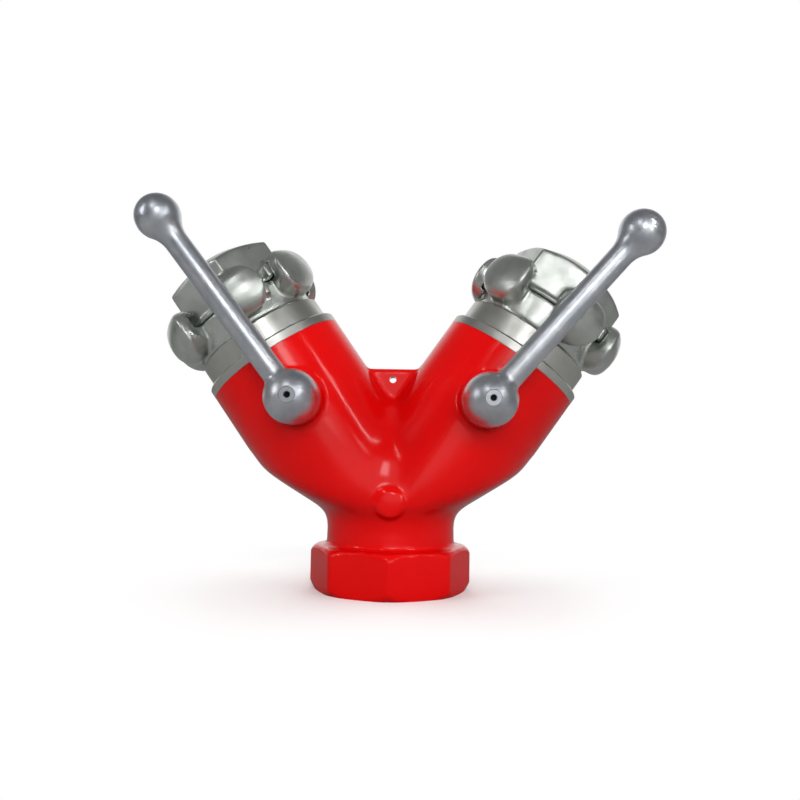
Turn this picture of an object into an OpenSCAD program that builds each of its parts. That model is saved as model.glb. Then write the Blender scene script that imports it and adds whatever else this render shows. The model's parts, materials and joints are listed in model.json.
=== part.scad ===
// Dividing breeching for fire hose: one threaded inlet that forks into two ball valves,
// each with a three-claw hose coupling and its blank cap.
// Origin: centre of the inlet face. +Z up, the levers are on the -Y side.
// side is -1 for the left branch and +1 for the right one.

/* [Inlet and neck] */
// Octagonal inlet collar, across the flats
collar_flats = 85.5; // [82:0.5:105]
// Height of the inlet collar
collar_height = 25; // [20:1:32]
// Turned chamfer on both rims of the collar, measured at the corners
collar_chamfer = 3; // [1:0.5:4]
// Crest diameter of the female inlet thread
inlet_thread_d = 72.2; // [60:0.1:74]
// Depth of the female inlet thread
inlet_thread_depth = 20; // [14:1:24]
// Outside diameter of the round neck
neck_d = 73.5; // [70:0.5:84]
// Wall of the neck
neck_wall = 6.75; // [5:0.25:9]

/* [Branches] */
// Height at which the two branch axes meet
root_height = 33; // [30:1:40]
// Lean of each branch away from upright
branch_tilt = 35; // [30:1:45]
// From the meeting point of the axes to the machined end of a branch
branch_length = 119.5; // [112:0.5:150]
// Outside diameter of a branch
branch_d = 84; // [80:1:100]
// Water passage inside a branch, below the valve
passage_d = 44; // [38:1:46]
// Height at which the body starts to flare out above the neck
flare_height = 43.5; // [38:0.5:48]
// Angle of the flare from upright
flare_angle = 58; // [50:1:62]
// Round belly that fills the fork
belly_d = 80; // [72:1:90]
// Height of the middle of the belly
belly_height = 60; // [54:1:66]
// Height of the flat top of the web between the branches
web_height = 127; // [118:1:140]
// Thickness of the web
web_thick = 12; // [6:1:20]
// Chain hole through the web
web_hole_d = 4; // [3:0.5:6]
// Drop of the chain hole below the top of the web
web_hole_drop = 6.5; // [5:0.5:8]
// Blank pad on the front of the neck
pad_d = 16; // [10:1:24]
// Height of the middle of the pad
pad_height = 51; // [44:1:60]
// Distance of the pad's face from the upright axis
pad_reach = 43; // [42:0.5:48]

/* [Ball valve] */
// From the meeting point of the axes to the middle of the ball
ball_reach = 89.3; // [84:0.1:110]
// Diameter of the ball
ball_d = 58; // [54:1:60]
// Full bore through the ball, the seats and the coupling
bore_d = 38; // [32:1:40]
// Diameter of the chamber round the ball
chamber_d = 68; // [66:1:72]
// Outside diameter of a seat ring
seat_d = 61; // [58:0.5:62]
// From the ball's middle to the near face of a seat
seat_near = 15; // [13:0.5:17]
// From the ball's middle to the far face of a seat
seat_far = 25.5; // [23:0.5:27]
// Gap between the ball and the face of its seat
seat_gap = 0.2; // [0.1:0.05:0.4]

/* [Stem and gland] */
// Diameter of the stem
stem_d = 14; // [12:0.5:15]
// Diameter of the shoulder that holds the stem in
shoulder_d = 22; // [18:1:24]
// Thickness of the stem's shoulder
shoulder_thick = 3; // [2:0.5:4]
// Thickness of the thrust washer on the shoulder
washer_thick = 1.2; // [0.8:0.1:2]
// Square on the stem that drives the lever
square_w = 10; // [8:0.5:10]
// Width of the tang that turns the ball
tang_w = 8; // [6:0.5:10]
// Length of the tang across the stem
tang_length = 14; // [10:0.5:14]
// Depth of the tang's slot below the top of the ball
slot_depth = 5.8; // [4:0.2:7]
// Thickness of an O-ring's cord on the stem
ring_cord = 2.1; // [1.5:0.1:2.4]
// Outside diameter of the gland bush
gland_d = 17.4; // [17:0.1:19]
// Length of the gland bush
gland_length = 7.4; // [5:0.1:9]
// Diameter of the boss on the front of a branch
boss_d = 30; // [28:1:40]
// How far the boss stands out of the branch
boss_proud = 4; // [3:0.5:10]
// Diameter of the stop pin
pin_d = 2.5; // [2:0.1:3]
// Distance of the stop pin from the stem's axis
pin_offset = 11.2; // [10.9:0.1:12]
// How far the stop pin stands out of the boss
pin_proud = 3.3; // [2:0.1:4]

/* [Levers] */
// Diameter of the ball-shaped hub
hub_d = 28.8; // [26:0.2:36]
// From the boss's face to the middle of the hub
hub_standoff = 12; // [10:0.5:16]
// Diameter of the round arm
arm_d = 12.8; // [10:0.2:16]
// Diameter of the ball knob
knob_d = 23.8; // [18:0.2:32]
// From the middle of the hub to the middle of the knob
lever_length = 115; // [90:1:180]
// Outward lean of the arm, away from the body
lever_lean = 3; // [0:0.5:8]
// Where the left lever rests, past its open stop
left_rest = 2.5; // [0:0.1:20]
// Where the right lever rests, past its open stop
right_rest = 6.3; // [0:0.1:20]
// Turn from the open stop to the closed stop
lever_turn = 90; // [80:1:100]
// Thread of the lever's retaining screw
screw_d = 5; // [4:0.5:6]
// Head of the retaining screw
screw_head_d = 8; // [7:0.5:10]
// Hexagon socket of the screw, across the corners
screw_socket_d = 3.6; // [3:0.2:5]

/* [End adapters] */
// Thickness of the adapter's flange
flange_thick = 5.5; // [4:0.5:8]
// Diameter of the adapter's collar above the flange
adapter_d = 76.8; // [74:0.2:84]
// From the end of the branch to the top of the adapter's collar
adapter_height = 18.2; // [14:0.1:26]
// Thread of the nipple that carries the coupling
nipple_d = 60; // [52:1:62]
// Thickness of the seal ring's cord on the spigot
seal_cord = 2.4; // [1.8:0.1:2.6]

/* [Claw couplings and caps] */
// From the underside of the coupling to the face where two halves meet
coupling_height = 17.3; // [16:0.1:22]
// Diameter of a coupling half's ring
ring_d = 72; // [68:0.5:74]
// How far the ramps that the claws grip stand out of the ring
ramp_proud = 4.2; // [3:0.1:6]
// Thickness of a ramp
ramp_thick = 8.3; // [6:0.1:9]
// How far the claws stand out of the ring
claw_proud = 12; // [9:0.5:14]
// How far a claw reaches past the meeting face
claw_reach = 14.5; // [12:0.5:16]
// Width of a claw, as an angle round the coupling
claw_width = 40; // [34:1:42]
// Gap between the ring and the inside of a claw's hook
hook_clear = 1; // [0.5:0.1:2]
// Angle from a claw to the claw of the other half
claw_offset = 54; // [50:1:60]
// Twist that frees a cap from its coupling
cap_twist = 25; // [18:1:26]
// Clocking of the left coupling's claws
left_clocking = -28; // [-180:1:180]
// Clocking of the right coupling's claws
right_clocking = -137; // [-180:1:180]
// Thickness of the cap's rim
cap_rim = 3; // [2:0.5:8]
// Height of the cap over the meeting face
cap_height = 32; // [28:0.5:36]
// Hexagon on the cap, across the corners
cap_hex_d = 72; // [70:0.5:76]
// Flat end of the cap, inside its turned crown
cap_crown_d = 40; // [30:1:50]
// Slope of the cap's turned crown
cap_crown_angle = 25; // [15:1:35]
// Wall at the end of the cap
cap_wall = 6; // [4:0.5:8]
// Outside diameter of the face gaskets
gasket_d = 54; // [46:1:56]
// Thickness of the face gaskets
gasket_thick = 5; // [3:0.5:6]

/* [Hidden] */

$fn = 96;
fit = 0.05;                 // radial gap of threads and pressed pieces
run = 0.1;                  // radial gap of turning pieces
face_gap = 0.3;             // gap between faces that slide past each other
cut = 1;                    // how far a cutter runs past what it cuts
roof_rise = 7;              // how far the neck's bore runs straight above the meeting point
seat_lip = 3;               // lip between the passage and the inner seat
shoulder_gap = 1.2;         // gap between the ball and the stem's shoulder
lever_gap = 0.5;            // gap between the boss and the lever
head_seat = 9.5;            // from the middle of the hub to the seat of the screw's head
head_sunk = 0.4;            // how far the screw's head lies under the hub's skin

collar_r = collar_flats / 2 / cos(22.5);
neck_r = neck_d / 2;
inlet_bore_r = neck_r - neck_wall;
branch_r = branch_d / 2;
boss_reach = branch_r + boss_proud;

// Along the branch axis, measured from the ball's middle
seat_pocket_start = ball_reach - seat_far - fit;
spigot_start = ball_reach + seat_near;
outer_seat_end = ball_reach + seat_far + fit;
coupling_start = branch_length + adapter_height;
meeting_face = coupling_start + coupling_height;

// Along the stem, measured from the branch axis
ball_r = ball_d / 2;
slot_floor = ball_r - slot_depth;
shoulder_start = ball_r + shoulder_gap;
shoulder_end = shoulder_start + shoulder_thick;
washer_end = shoulder_end + washer_thick + 2 * run;
gland_start = boss_reach - gland_length;
lever_back = boss_reach + lever_gap;
square_start = boss_reach + face_gap;
hub_reach = boss_reach + hub_standoff;
square_end = hub_reach + 4;
head_start = hub_reach + head_seat;
head_end = hub_reach + sqrt(pow(hub_d / 2, 2) - pow(screw_head_d / 2, 2)) - head_sunk;
groove_r = stem_d / 2 - ring_cord + fit;
groove_w = ring_cord + 0.6;
seal_places = [(washer_end + gland_start) / 2, gland_start + gland_length / 2];

// Round a coupling half
ring_r = ring_d / 2;
ramp_r = ring_r + ramp_proud;
claw_r = ring_r + claw_proud;
hook_r = ring_r + hook_clear;
cap_hex_r = cap_hex_d / 2;
root_r = cap_hex_r * cos(30) - 0.7;     // roots of claws and ramps, inside ring and hexagon

// A claw's angle on each side of its middle, and the ramp that the other half's claw grips
claw_half = claw_width / 2;
ramp_from = -claw_offset - cap_twist + claw_half + 2;
ramp_to = -claw_offset + claw_half + 4;

function rest_turn(side) = side < 0 ? left_rest : right_rest;
function clocking(side) = side < 0 ? left_clocking : right_clocking;

// Frames --------------------------------------------------------------

// Z runs out along the branch from the point where the two axes meet
module on_branch(side) {
    translate([0, 0, root_height])
        rotate([0, side * branch_tilt, 0])
            children();
}

// Z runs out to the front along the stem, Y runs along the branch
module on_stem(side) {
    on_branch(side)
        translate([0, 0, ball_reach])
            rotate([90, 0, 0])
                children();
}

// The stem's frame, turned to where the lever rests
module on_lever(side) {
    on_stem(side)
        rotate([0, 0, -side * rest_turn(side)])
            children();
}

// The face where coupling and cap meet, turned to the coupling's claws
module on_coupling(side) {
    on_branch(side)
        translate([0, 0, meeting_face])
            rotate([0, 0, clocking(side)])
                children();
}

// The same face for the cap, which hangs upside down between the coupling's claws
module on_cap(side) {
    on_coupling(side)
        rotate([0, 0, -claw_offset])
            rotate([180, 0, 0])
                children();
}

// Shapes that repeat --------------------------------------------------

module tube(outer_r, inner_r, from, to) {
    translate([0, 0, from])
        difference() {
            cylinder(h = to - from, r = outer_r);
            translate([0, 0, -cut])
                cylinder(h = to - from + 2 * cut, r = inner_r);
        }
}

module rod(r, from, to) {
    translate([0, 0, from])
        cylinder(h = to - from, r = r);
}

module o_ring(outer_r, cord) {
    rotate_extrude()
        translate([outer_r - cord / 2, 0])
            circle(d = cord, $fn = 24);
}

// Part of a ring between two angles
module sector(inner_r, outer_r, from, to, low, high) {
    rotate([0, 0, from])
        rotate_extrude(angle = to - from)
            translate([inner_r, low])
                square([outer_r - inner_r, high - low]);
}

// A cylinder of both branches, for the outside or the passages
module both_branches(r, from, to) {
    for (side = [-1, 1])
        on_branch(side)
            rod(r, from, to);
}

// Body ----------------------------------------------------------------

module collar_outside() {
    rim_r = collar_r - collar_chamfer;
    intersection() {
        cylinder(h = collar_height, r = collar_r, $fn = 8);
        rotate_extrude()
            polygon([
                [0, 0], [rim_r, 0], [collar_r + fit, collar_chamfer + fit],
                [collar_r + fit, collar_height - collar_chamfer - fit],
                [rim_r, collar_height], [0, collar_height]
            ]);
    }
}

// The branches' outside, limited near the neck by a flare
module branches_outside() {
    flare_top = root_height + branch_length + branch_r;
    intersection() {
        both_branches(branch_r, 0, branch_length);
        rotate_extrude()
            polygon([
                [0, collar_height], [neck_r, collar_height], [neck_r, flare_height],
                [neck_r + (flare_top - flare_height) * tan(flare_angle), flare_top], [0, flare_top]
            ]);
    }
}

module body_outside() {
    collar_outside();
    rod(neck_r, collar_height - cut, flare_height + cut);
    branches_outside();
    translate([0, 0, belly_height])
        sphere(d = belly_d);
    web();
    translate([0, 0, pad_height])
        rotate([90, 0, 0])
            rod(pad_d / 2, inlet_bore_r + 2, pad_reach);
    for (side = [-1, 1])
        on_stem(side)
            rod(boss_d / 2, chamber_d / 2 + 2, boss_reach);
}

// Flat web that ties the two branches together above the fork
module web() {
    half_width = (web_height - root_height) * tan(branch_tilt) - branch_r / cos(branch_tilt) + 2;
    rise = web_height - belly_height;
    translate([-half_width, -web_thick / 2, belly_height])
        cube([2 * half_width, web_thick, rise]);
}

// Thread, neck bore and a coned roof, where the passages of the branches begin
module inlet_cavity() {
    rotate_extrude()
        polygon([
            [0, -cut], [inlet_thread_d / 2, -cut], [inlet_thread_d / 2, inlet_thread_depth],
            [inlet_bore_r, inlet_thread_depth], [inlet_bore_r, root_height + roof_rise],
            [inlet_bore_r / 2, root_height + roof_rise + inlet_bore_r / 2 / tan(branch_tilt)],
            [0, root_height + roof_rise + inlet_bore_r / 2 / tan(branch_tilt)]
        ]);
}

// Passage, seat lip, seat pocket and ball chamber of one branch, then the stem's and the pin's holes
module branch_cavity(side) {
    lip_start = seat_pocket_start - seat_lip;
    on_branch(side)
        rotate_extrude()
            polygon([
                [0, 0], [passage_d / 2, 0], [passage_d / 2, lip_start], [bore_d / 2, lip_start],
                [bore_d / 2, seat_pocket_start], [seat_d / 2 + fit, seat_pocket_start],
                [seat_d / 2 + fit, ball_reach - seat_near], [chamber_d / 2, ball_reach - seat_near],
                [chamber_d / 2, branch_length + cut], [0, branch_length + cut]
            ]);
    on_stem(side) {
        rotate_extrude()
            polygon([
                [0, ball_r - 2], [shoulder_d / 2 + 1, ball_r - 2], [shoulder_d / 2 + 1, washer_end],
                [stem_d / 2 + run, washer_end], [stem_d / 2 + run, gland_start],
                [gland_d / 2 + fit, gland_start], [gland_d / 2 + fit, boss_reach + cut], [0, boss_reach + cut]
            ]);
        rotate([0, 0, -90])
            translate([pin_offset, 0, 0])
                rod(pin_d / 2 + fit, gland_start, boss_reach + cut);
    }
}

module body() {
    color("red")
        difference() {
            body_outside();
            inlet_cavity();
            for (side = [-1, 1])
                branch_cavity(side);
            translate([0, 0, web_height - web_hole_drop])
                rotate([90, 0, 0])
                    cylinder(h = web_thick + 2 * cut, d = web_hole_d, center = true);
        }
}

// Valve ---------------------------------------------------------------

module end_adapter(side) {
    spigot_r = chamber_d / 2 - fit;
    groove_middle = (outer_seat_end + branch_length) / 2;
    groove_half = seal_cord / 2 + 0.2;
    color("lightgray")
        on_branch(side)
            difference() {
                union() {
                    rod(spigot_r, spigot_start, branch_length);
                    rod(branch_r, branch_length, branch_length + flange_thick);
                    rod(adapter_d / 2, branch_length, coupling_start);
                    rod(nipple_d / 2, branch_length, coupling_start + coupling_height / 2);
                }
                rod(bore_d / 2, spigot_start - cut, meeting_face);
                rod(seat_d / 2 + fit, spigot_start - cut, outer_seat_end);
                tube(spigot_r + cut, spigot_r - seal_cord - fit, groove_middle - groove_half, groove_middle + groove_half);
            }
}

module adapter_seal(side) {
    color("dimgray")
        on_branch(side)
            translate([0, 0, (outer_seat_end + branch_length) / 2])
                o_ring(chamber_d / 2 - fit, seal_cord);
}

// A seat ring with the ball's hollow in its near face, its far face towards +Z
module seat() {
    color("white")
        difference() {
            tube(seat_d / 2, bore_d / 2, seat_near, seat_far);
            sphere(r = ball_r + seat_gap);
        }
}

module outer_seat(side) {
    on_branch(side)
        translate([0, 0, ball_reach])
            seat();
}

module inner_seat(side) {
    on_branch(side)
        translate([0, 0, ball_reach])
            rotate([180, 0, 0])
                seat();
}

module ball(side) {
    color("silver")
        on_lever(side)
            difference() {
                sphere(d = ball_d);
                rotate([90, 0, 0])
                    cylinder(h = ball_d + 2 * cut, d = bore_d, center = true);
                translate([-ball_d, -tang_w / 2 - run, slot_floor])
                    cube([2 * ball_d, tang_w + 2 * run, ball_d]);
            }
}

module stem(side) {
    color("silver")
        on_lever(side)
            difference() {
                union() {
                    translate([-tang_length / 2, -tang_w / 2, slot_floor + run])
                        cube([tang_length, tang_w, shoulder_start - slot_floor]);
                    rod(shoulder_d / 2, shoulder_start, shoulder_end);
                    rod(stem_d / 2, shoulder_end - cut, square_start);
                    translate([-square_w / 2, -square_w / 2, square_start - cut])
                        cube([square_w, square_w, square_end - square_start + cut]);
                }
                for (place = seal_places)
                    tube(stem_d, groove_r, place - groove_w / 2, place + groove_w / 2);
                rod(screw_d / 2 + fit, square_start + 3, square_end + cut);
            }
}

module stem_seals(side) {
    color("dimgray")
        on_lever(side)
            for (place = seal_places)
                translate([0, 0, place])
                    o_ring(stem_d / 2 + fit, ring_cord - fit);
}

module thrust_washer(side) {
    color("white")
        on_stem(side)
            tube(shoulder_d / 2, stem_d / 2 + run, shoulder_end + run, washer_end - run);
}

module gland(side) {
    color("goldenrod")
        on_stem(side)
            tube(gland_d / 2, stem_d / 2 + run, gland_start + fit, boss_reach);
}

module stop_pin(side) {
    color("gray")
        on_stem(side)
            rotate([0, 0, -90])
                translate([pin_offset, 0, 0])
                    rod(pin_d / 2, gland_start + fit, boss_reach + pin_proud);
}

// Levers --------------------------------------------------------------

module lever(side) {
    slot_half = pin_d / 2 + 0.3;
    slot_ends = asin(pin_d / 2 / pin_offset) + 2;
    slot_low = side > 0 ? -90 - slot_ends : -90 - lever_turn - slot_ends;
    slot_high = side > 0 ? -90 + lever_turn + slot_ends : -90 + slot_ends;
    color("silver")
        on_lever(side)
            difference() {
                union() {
                    translate([0, 0, hub_reach])
                        sphere(d = hub_d);
                    rod(hub_d / 2, lever_back, hub_reach);
                    translate([0, 0, hub_reach])
                        rotate([lever_lean - 90, 0, 0])
                            arm();
                }
                rod(hub_d, 0, lever_back);
                translate([-square_w / 2 - run, -square_w / 2 - run, 0])
                    cube([square_w + 2 * run, square_w + 2 * run, square_end + 0.5]);
                rod(screw_d / 2 + run, square_end, head_start);
                rod(screw_head_d / 2 + run, head_start, hub_reach + hub_d);
                sector(pin_offset - slot_half, pin_offset + slot_half, slot_low, slot_high,
                    0, boss_reach + pin_proud + 0.5);
            }
}

// The round arm with its ball knob, along +Z from the middle of the hub
module arm() {
    rod(arm_d / 2, 0, lever_length);
    translate([0, 0, lever_length - knob_d * 0.8])
        cylinder(h = knob_d * 0.5, d1 = arm_d, d2 = knob_d * 0.8);
    translate([0, 0, lever_length])
        sphere(d = knob_d);
}

module lever_screw(side) {
    color("dimgray")
        on_lever(side)
            difference() {
                union() {
                    rod(screw_d / 2, square_start + 5, head_start + cut);
                    rod(screw_head_d / 2, head_start + fit, head_end);
                }
                translate([0, 0, head_end - 2.5])
                    cylinder(h = 2.5 + cut, d = screw_socket_d, $fn = 6);
            }
}

// Couplings and caps --------------------------------------------------

// A claw as a lobe: a turned profile, rounded by a cylinder that points outwards
module claw() {
    round_edge = 3.5;
    hook_z = ramp_thick + 2 * face_gap;
    hook_floor_r = ramp_r + face_gap;
    intersection() {
        rotate([0, 0, -claw_half])
            rotate_extrude(angle = claw_width)
                polygon([
                    [root_r, -claw_reach], [claw_r - round_edge, -claw_reach],
                    [claw_r, -claw_reach + round_edge], [claw_r, claw_reach - round_edge],
                    [claw_r - round_edge, claw_reach], [hook_r, claw_reach],
                    [hook_r, hook_z], [hook_floor_r, hook_z],
                    [hook_floor_r, -face_gap / 2], [root_r, -face_gap / 2]
                ]);
        rotate([0, 90, 0])
            cylinder(h = claw_r + cut, r = claw_reach + 1.2);
    }
}

// One half of the coupling with its face at z = 0 and its claws pointing up
module coupling_half(height) {
    rod(ring_r, -height, -face_gap / 2);
    for (k = [0:2])
        rotate([0, 0, 120 * k]) {
            sector(root_r, ramp_r, ramp_from, ramp_to, -ramp_thick, -face_gap / 2);
            claw();
        }
}

// The cap's hexagon with its turned crown
module cap_hexagon() {
    crown_r = cap_crown_d / 2;
    edge_r = cap_hex_r + cut;
    edge_z = -cap_height + (edge_r - crown_r) * tan(cap_crown_angle);
    intersection() {
        translate([0, 0, -cap_height])
            cylinder(h = cap_height - cap_rim + cut, r = cap_hex_r, $fn = 6);
        rotate_extrude()
            polygon([[0, -cap_height], [crown_r, -cap_height], [edge_r, edge_z], [edge_r, cut], [0, cut]]);
    }
}

module gasket() {
    tube(gasket_d / 2 - fit, bore_d / 2 + 0.5, -gasket_thick, -face_gap / 2);
}

module claw_coupling(side) {
    color("gainsboro")
        on_coupling(side)
            difference() {
                coupling_half(coupling_height);
                rod(bore_d / 2, -coupling_height - cut, cut);
                rod(gasket_d / 2, -gasket_thick, cut);
                rod(nipple_d / 2 + fit, -coupling_height - cut, -coupling_height / 2 + fit);
            }
}

module coupling_gasket(side) {
    color("dimgray")
        on_coupling(side)
            gasket();
}

module cap(side) {
    color("gainsboro")
        on_cap(side)
            difference() {
                union() {
                    coupling_half(cap_rim);
                    cap_hexagon();
                }
                rod(bore_d / 2, -cap_height + cap_wall, cut);
                rod(gasket_d / 2, -gasket_thick, cut);
            }
}

module cap_gasket(side) {
    color("dimgray")
        on_cap(side)
            gasket();
}

// Nodes ---------------------------------------------------------------

body();
end_adapter(-1);  // left_end_adapter
adapter_seal(-1);  // left_adapter_seal
inner_seat(-1);  // left_inner_seat
outer_seat(-1);  // left_outer_seat
ball(-1);  // left_ball
stem(-1);  // left_stem
stem_seals(-1);  // left_stem_seals
thrust_washer(-1);  // left_thrust_washer
gland(-1);  // left_gland
stop_pin(-1);  // left_stop_pin
lever(-1);  // left_lever
lever_screw(-1);  // left_lever_screw
claw_coupling(-1);  // left_claw_coupling
coupling_gasket(-1);  // left_coupling_gasket
cap(-1);  // left_cap
cap_gasket(-1);  // left_cap_gasket
end_adapter(1);  // right_end_adapter
adapter_seal(1);  // right_adapter_seal
inner_seat(1);  // right_inner_seat
outer_seat(1);  // right_outer_seat
ball(1);  // right_ball
stem(1);  // right_stem
stem_seals(1);  // right_stem_seals
thrust_washer(1);  // right_thrust_washer
gland(1);  // right_gland
stop_pin(1);  // right_stop_pin
lever(1);  // right_lever
lever_screw(1);  // right_lever_screw
claw_coupling(1);  // right_claw_coupling
coupling_gasket(1);  // right_coupling_gasket
cap(1);  // right_cap
cap_gasket(1);  // right_cap_gasket
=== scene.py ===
import json
import math

import bpy
from mathutils import Matrix, Vector


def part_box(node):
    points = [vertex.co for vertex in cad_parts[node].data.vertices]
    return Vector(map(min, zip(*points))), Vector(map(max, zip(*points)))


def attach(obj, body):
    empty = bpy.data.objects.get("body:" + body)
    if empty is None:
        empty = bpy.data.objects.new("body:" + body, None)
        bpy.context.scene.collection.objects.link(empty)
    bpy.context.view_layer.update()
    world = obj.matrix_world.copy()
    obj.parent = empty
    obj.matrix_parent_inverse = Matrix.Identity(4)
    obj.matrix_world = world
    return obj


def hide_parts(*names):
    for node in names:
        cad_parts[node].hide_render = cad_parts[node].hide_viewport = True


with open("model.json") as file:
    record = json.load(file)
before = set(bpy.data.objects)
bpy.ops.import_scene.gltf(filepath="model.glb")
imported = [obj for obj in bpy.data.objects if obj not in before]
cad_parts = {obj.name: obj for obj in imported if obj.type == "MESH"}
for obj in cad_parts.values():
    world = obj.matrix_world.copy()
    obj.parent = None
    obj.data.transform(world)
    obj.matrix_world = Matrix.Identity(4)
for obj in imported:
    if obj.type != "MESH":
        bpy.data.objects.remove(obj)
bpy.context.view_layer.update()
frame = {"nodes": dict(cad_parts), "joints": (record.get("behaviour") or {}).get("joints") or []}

# Dividing breeching: a red enamelled casting with two levered ball valves, each closed by a
# claw coupling and its cap. Every piece is drawn round its own axis, then moved to its place.

MM = 0.001
SIDES = {"left": -1, "right": 1}
ROUND = 128                      # corners of a big turned circle
SAME_PLACE = 0.001 * MM          # corners nearer than this are one
JOINTS = {joint["name"]: joint for joint in frame["joints"]}


# --- Where things are, from the frame -------------------------------------------------

def joint_place(name):
    return Vector(JOINTS[name]["pos_m"])


cap_axis = -Vector(JOINTS["right_cap_twist"]["axis"])
BRANCH_TILT = math.atan2(cap_axis.x, cap_axis.z)
right_ball = joint_place("right_lever_turn")
ROOT_HEIGHT = right_ball.z - right_ball.x / math.tan(BRANCH_TILT)
BALL_REACH = right_ball.x / math.sin(BRANCH_TILT)
FACE_REACH = joint_place("right_cap_twist").x / math.sin(BRANCH_TILT)

gland_low, gland_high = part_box("right_gland")
BOSS_REACH = -gland_low.y
GLAND_START = -gland_high.y
pin_low, pin_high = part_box("right_stop_pin")
PIN_TIP = -pin_low.y
PIN_R = (pin_high.x - pin_low.x) / 2
ball_low, ball_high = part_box("right_ball")
BALL_R = (ball_high.y - ball_low.y) / 2

# --- Sizes of the casting --------------------------------------------------------------

COLLAR_R = 85.5 * MM / 2 / math.cos(math.radians(22.5))
COLLAR_HEIGHT = 25 * MM
COLLAR_CHAMFER = 3 * MM
NECK_R = 36.75 * MM
NECK_BORE_R = 30 * MM
THREAD_CREST_R = 36.1 * MM
THREAD_ROOT_R = 37.58 * MM
THREAD_PITCH = 25.4 * MM / 11
THREAD_DEPTH = 20 * MM
THREAD_RUN_IN = 3                # turns of thread drawn below the collar's face
BRANCH_R = 42 * MM
BRANCH_END = 119.5 * MM
FLARE_HEIGHT = 43.5 * MM
FLARE_ANGLE = math.radians(58)
BELLY_R = 40 * MM
BELLY_HEIGHT = 60 * MM
FORK_LOW = 32 * MM
FORK_HIGH = 118 * MM
FORK_HALF_WIDTH = 82 * MM
WEB_TOP = 127 * MM
WEB_FOOT = 80 * MM               # inside the casting
WEB_THICK = 12 * MM
WEB_HOLE_R = 2 * MM
WEB_HOLE_DROP = 6.5 * MM
PAD_R = 8 * MM
PAD_HEIGHT = 51 * MM
PAD_REACH = 43 * MM
PAD_DOME_R = 42 * MM
BOSS_R = 15 * MM
PASSAGE_R = 22 * MM
BORE_R = 19 * MM
SEAT_R = 30.55 * MM
SEAT_NEAR = 15 * MM
SEAT_FAR = 25.55 * MM
CHAMBER_R = 34 * MM
STEM_R = 7.1 * MM
POCKET_R = 12 * MM
POCKET_END = 34.6 * MM
GLAND_R = 8.75 * MM
PIN_OFFSET = 11.2 * MM
PAST_FACE = 4 * MM               # how far a cutter runs out past a boss

# --- Sizes of the levers ---------------------------------------------------------------

HUB_R = 14.4 * MM
HUB_REACH = BOSS_REACH + 12 * MM
LEVER_BACK = BOSS_REACH + 0.5 * MM
ARM_R = 6.4 * MM
KNOB_R = 11.9 * MM
LEVER_LENGTH = 115 * MM
LEVER_LEAN = math.radians(3)
SQUARE_W = 10.2 * MM
SQUARE_END = HUB_REACH + 4.5 * MM
SCREW_HEAD_R = 4.1 * MM
SCREW_HEAD_START = HUB_REACH + 9.5 * MM
SCREW_R = 2.6 * MM
SOCKET_R = 1.5 * MM

# --- Sizes of the adapters, couplings and caps ------------------------------------------

ADAPTER_R = 38.4 * MM
ADAPTER_TOP = 137.7 * MM
FLANGE_TOP = BRANCH_END + 5.5 * MM
NIPPLE_R = 30 * MM
COUPLING_HEIGHT = FACE_REACH - ADAPTER_TOP
RING_R = 36 * MM
RAMP_R = 40.2 * MM
RAMP_THICK = 8.3 * MM
CLAW_R = 48 * MM
CLAW_REACH = 14.5 * MM
CLAW_WIDTH = math.radians(40)
HOOK_R = 37 * MM
HALF_GAP = 0.15 * MM
CLAW_OFFSET = math.radians(54)
CLOCKING = {"left": math.radians(-28), "right": math.radians(-137)}
CAP_TWIST = math.radians(JOINTS["right_cap_twist"]["range_deg"][1])
RAMP_FROM = -CLAW_OFFSET - CAP_TWIST + CLAW_WIDTH / 2 + math.radians(2)
RAMP_TO = -CLAW_OFFSET + CLAW_WIDTH / 2 + math.radians(4)
CAP_RIM = 3 * MM
CAP_HEIGHT = 32 * MM
CAP_WALL = 6 * MM
CAP_HEX_R = 36 * MM
CAP_CROWN_R = 20 * MM
CAP_CROWN_SLOPE = math.tan(math.radians(25))
ROOT_R = CAP_HEX_R * math.cos(math.radians(30)) - 0.7 * MM
GASKET_R = 27 * MM
GASKET_THICK = 5 * MM


# --- Grain of the casts, and rounds of smoothing ------------------------------------------

FORK_GRAIN = 1.6 * MM
FORK_ROUNDS = 60
CASTING_GRAIN = 1.25 * MM
CASTING_ROUNDS = 4
FORGING_GRAIN = 0.7 * MM
FORGING_ROUNDS = 9
LEVER_GRAIN = 0.5 * MM
LEVER_ROUNDS = 6

# --- Camera and light --------------------------------------------------------------------

SENSOR = 36                      # millimetres, as the lens
LENS = 33.723
ROOM = 0.18                      # strength of the dim room that the pieces mirror
WALL = 1.0                       # strength of the pale wall behind them


# --- Frames of the pieces --------------------------------------------------------------

def branch_frame(side):
    return Matrix.Translation((0, 0, ROOT_HEIGHT)) @ Matrix.Rotation(SIDES[side] * BRANCH_TILT, 4, "Y")


def stem_frame(side):
    return branch_frame(side) @ Matrix.Translation((0, 0, BALL_REACH)) @ Matrix.Rotation(math.pi / 2, 4, "X")


def lever_frame(side):
    past_open = -math.radians(JOINTS[side + "_lever_turn"]["range_deg"][0])
    return stem_frame(side) @ Matrix.Rotation(-SIDES[side] * past_open, 4, "Z")


def coupling_frame(side):
    face = branch_frame(side) @ Matrix.Translation((0, 0, FACE_REACH))
    return face @ Matrix.Rotation(CLOCKING[side], 4, "Z")


def cap_frame(side):
    return coupling_frame(side) @ Matrix.Rotation(-CLAW_OFFSET, 4, "Z") @ Matrix.Rotation(math.pi, 4, "X")


def facing_front(height):
    """Frame in the middle plane, whose Z points out of the front."""
    return Matrix.Translation((0, 0, height)) @ Matrix.Rotation(math.pi / 2, 4, "X")


# --- Workshop helpers ------------------------------------------------------------------

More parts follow.
